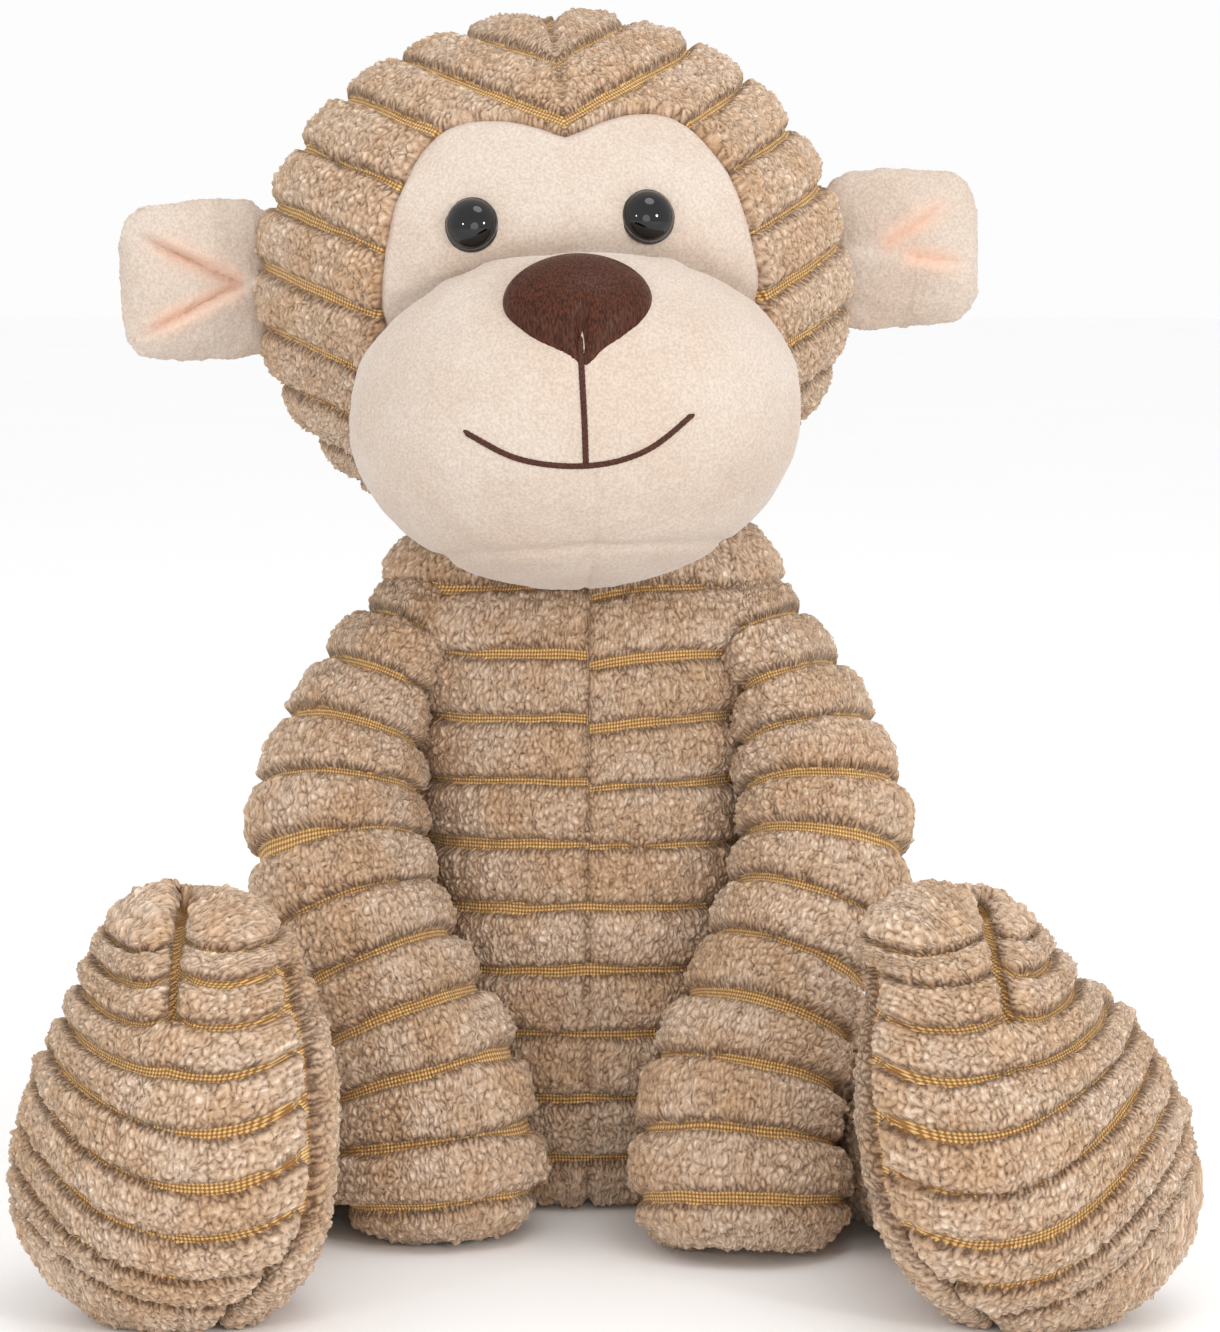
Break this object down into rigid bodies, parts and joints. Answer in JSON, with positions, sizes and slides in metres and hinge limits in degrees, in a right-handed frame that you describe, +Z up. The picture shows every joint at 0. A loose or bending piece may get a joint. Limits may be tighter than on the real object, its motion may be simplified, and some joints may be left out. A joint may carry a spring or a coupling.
{
  "type": "stuffed toy monkey",
  "caption": "Seated soft monkey in wide-wale plush with a cream face, muzzle and ears, domed eyes, padded nose, hanging arms and feet that stand up.",
  "frame": {"origin": "middle of the flat seat panel, on the floor that the toy sits on", "axes": "+Z up, -Y the way that the toy faces, +X towards its own left"},
  "size_m": [0.2554, 0.2073, 0.2874],
  "materials": {
    "plush": "wide wale of cut pile on a woven gold ground",
    "cream": "short dense pile",
    "nose": "smooth satin-faced pile",
    "thread": "embroidery thread",
    "eye": "polished",
    "washer": "moulded",
    "stuffing": "loose polyester fibre",
    "pouch": "plain woven bag"
  },
  "bodies": {
    "torso": {"torso_front_left": "plush", "torso_front_right": "plush", "torso_back_left": "plush", "torso_back_right": "plush", "seat_panel": "plush", "pellet_pouch": "pouch", "torso_stuffing": "stuffing"},
    "neck": {"neck_seam": "thread"},
    "head": {"hood_left": "plush", "hood_right": "plush", "face_panel": "cream", "head_stuffing": "stuffing", "muzzle_left": "cream", "muzzle_right": "cream", "chin_panel": "cream", "muzzle_stuffing": "stuffing", "nose": "nose", "mouth_stitching": "thread", "left_eye": "eye", "left_eye_washer": "washer", "right_eye": "eye", "right_eye_washer": "washer"},
    "left_arm": {"left_arm_back": "plush", "left_arm_front": "plush", "left_arm_stuffing": "stuffing"},
    "left_leg": {"left_foot_sole": "plush", "left_foot_upper": "plush", "left_leg_top": "plush", "left_leg_under": "plush", "left_foot_stuffing": "stuffing", "left_leg_stuffing": "stuffing"},
    "left_ear": {"left_ear_front": "cream", "left_ear_back": "cream"},
    "right_arm": {"right_arm_back": "plush", "right_arm_front": "plush", "right_arm_stuffing": "stuffing"},
    "right_leg": {"right_foot_sole": "plush", "right_foot_upper": "plush", "right_leg_top": "plush", "right_leg_under": "plush", "right_foot_stuffing": "stuffing", "right_leg_stuffing": "stuffing"},
    "right_ear": {"right_ear_front": "cream", "right_ear_back": "cream"}
  },
  "joints": [
    {"name": "neck_turn", "type": "hinge", "parent": "torso", "child": "neck", "pos_m": [-0.004, 0.004, 0.16], "axis": [0, 0, 1], "range_deg": [-30, 30], "stiffness_Nm_per_rad": 0.25},
    {"name": "neck_nod", "type": "hinge", "parent": "neck", "child": "head", "pos_m": [-0.004, 0.004, 0.16], "axis": [1, 0, 0], "range_deg": [-15, 5], "stiffness_Nm_per_rad": 0.6},
    {"name": "left_shoulder", "type": "hinge", "parent": "torso", "child": "left_arm", "pos_m": [0.041, -0.003, 0.137], "axis": [-0.9968, 0, -0.0797], "range_deg": [0, 55]},
    {"name": "right_shoulder", "type": "hinge", "parent": "torso", "child": "right_arm", "pos_m": [-0.041, -0.003, 0.137], "axis": [-0.9968, 0, 0.0797], "range_deg": [0, 55]},
    {"name": "left_hip", "type": "hinge", "parent": "torso", "child": "left_leg", "pos_m": [0.045, -0.008, 0.025], "axis": [0.9511, 0.309, 0], "range_deg": [-8, 70]},
    {"name": "right_hip", "type": "hinge", "parent": "torso", "child": "right_leg", "pos_m": [-0.045, -0.008, 0.025], "axis": [0.9511, -0.309, 0], "range_deg": [-8, 70]},
    {"name": "left_ear_fold", "type": "hinge", "parent": "head", "child": "left_ear", "pos_m": [0.06467, 0.00456, 0.23272], "axis": [-0.0434, -0.0042, 0.999], "range_deg": [-20, 20], "stiffness_Nm_per_rad": 0.02},
    {"name": "right_ear_fold", "type": "hinge", "parent": "head", "child": "right_ear", "pos_m": [-0.08251, -0.00961, 0.22627], "axis": [-0.0434, -0.0042, 0.999], "range_deg": [-20, 20], "stiffness_Nm_per_rad": 0.02}
  ]
}
